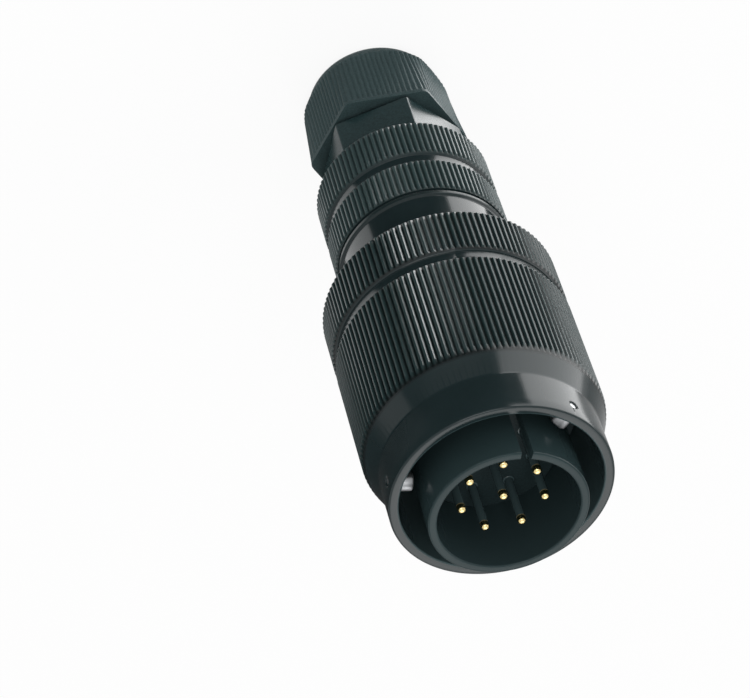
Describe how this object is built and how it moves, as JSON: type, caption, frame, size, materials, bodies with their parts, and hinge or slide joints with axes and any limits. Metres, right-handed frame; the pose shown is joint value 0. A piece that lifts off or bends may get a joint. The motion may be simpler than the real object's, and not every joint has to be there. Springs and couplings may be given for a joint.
{
  "type": "circular bayonet cable plug",
  "caption": "Circular bayonet cable plug with gold pin contacts, a knurled sprung coupling ring, a knurled backshell and a hexagonal cable gland with a ribbed clamping nut.",
  "frame": {"origin": "centre of the gland nut's end face, on which the plug stands", "axes": "+Z along the plug's axis towards the mating face; -Y through the key slot"},
  "size_m": [0.042, 0.042, 0.1135],
  "materials": {
    "anodised_ring": "glossy black anodised aluminium, straight knurl",
    "anodised_shell": "glossy black anodised aluminium",
    "anodised_backshell": "black anodised aluminium, straight knurl",
    "plain_aluminium": "turned aluminium",
    "bright_steel": "bright turned steel",
    "spring_steel": "spring steel strip",
    "gold_contact": "gold plated brass",
    "slip_brass": "plain brass",
    "insert_plastic": "dark moulded insulator",
    "gland_nylon": "satin black nylon",
    "nut_nylon": "matt black ribbed nylon",
    "black_rubber": "matt black rubber"
  },
  "bodies": {
    "plug_body": {"plug_shell": "anodised_shell", "pin_insert": "insert_plastic", "rear_insert": "insert_plastic", "insert_ring": "plain_aluminium", "contact_pin_1": "gold_contact", "contact_pin_2": "gold_contact", "contact_pin_3": "gold_contact", "contact_pin_4": "gold_contact", "contact_pin_5": "gold_contact", "contact_pin_6": "gold_contact", "contact_pin_7": "gold_contact", "contact_pin_8": "gold_contact", "face_seal": "black_rubber", "wave_spring": "spring_steel", "snap_ring": "spring_steel", "backshell": "anodised_backshell", "backshell_o_ring": "black_rubber", "sealing_washer": "black_rubber", "gland_body": "gland_nylon", "gland_seal": "black_rubber"},
    "thrust_washer": {"thrust_washer": "spring_steel"},
    "coupling_ring": {"coupling_ring": "anodised_ring", "bayonet_pin_1": "bright_steel", "bayonet_pin_2": "bright_steel", "bayonet_pin_3": "bright_steel"},
    "slip_washer": {"slip_washer": "slip_brass"},
    "gland_nut": {"gland_nut": "nut_nylon"}
  },
  "joints": [
    {"name": "ring_float", "type": "slide", "parent": "plug_body", "child": "thrust_washer", "axis": [0, 0, 1], "range_m": [0, 0.001], "stiffness_N_per_m": 3000, "springref_m": -0.004, "deforming": ["wave_spring"]},
    {"name": "ring_turn", "type": "hinge", "parent": "thrust_washer", "child": "coupling_ring", "pos_m": [0, 0, 0.0853], "axis": [0, 0, 1], "continuous": true},
    {"name": "nut_travel", "type": "slide", "parent": "plug_body", "child": "slip_washer", "axis": [0, 0, -1], "range_m": [0, 0.003]},
    {"name": "nut_turn", "type": "hinge", "parent": "slip_washer", "child": "gland_nut", "pos_m": [0, 0, 0.0086], "axis": [0, 0, -1], "range_deg": [0, 720]}
  ],
  "couplings": [
    {"joint": "nut_travel", "follows": "nut_turn", "m_per_rad": 0.0002387}
  ]
}
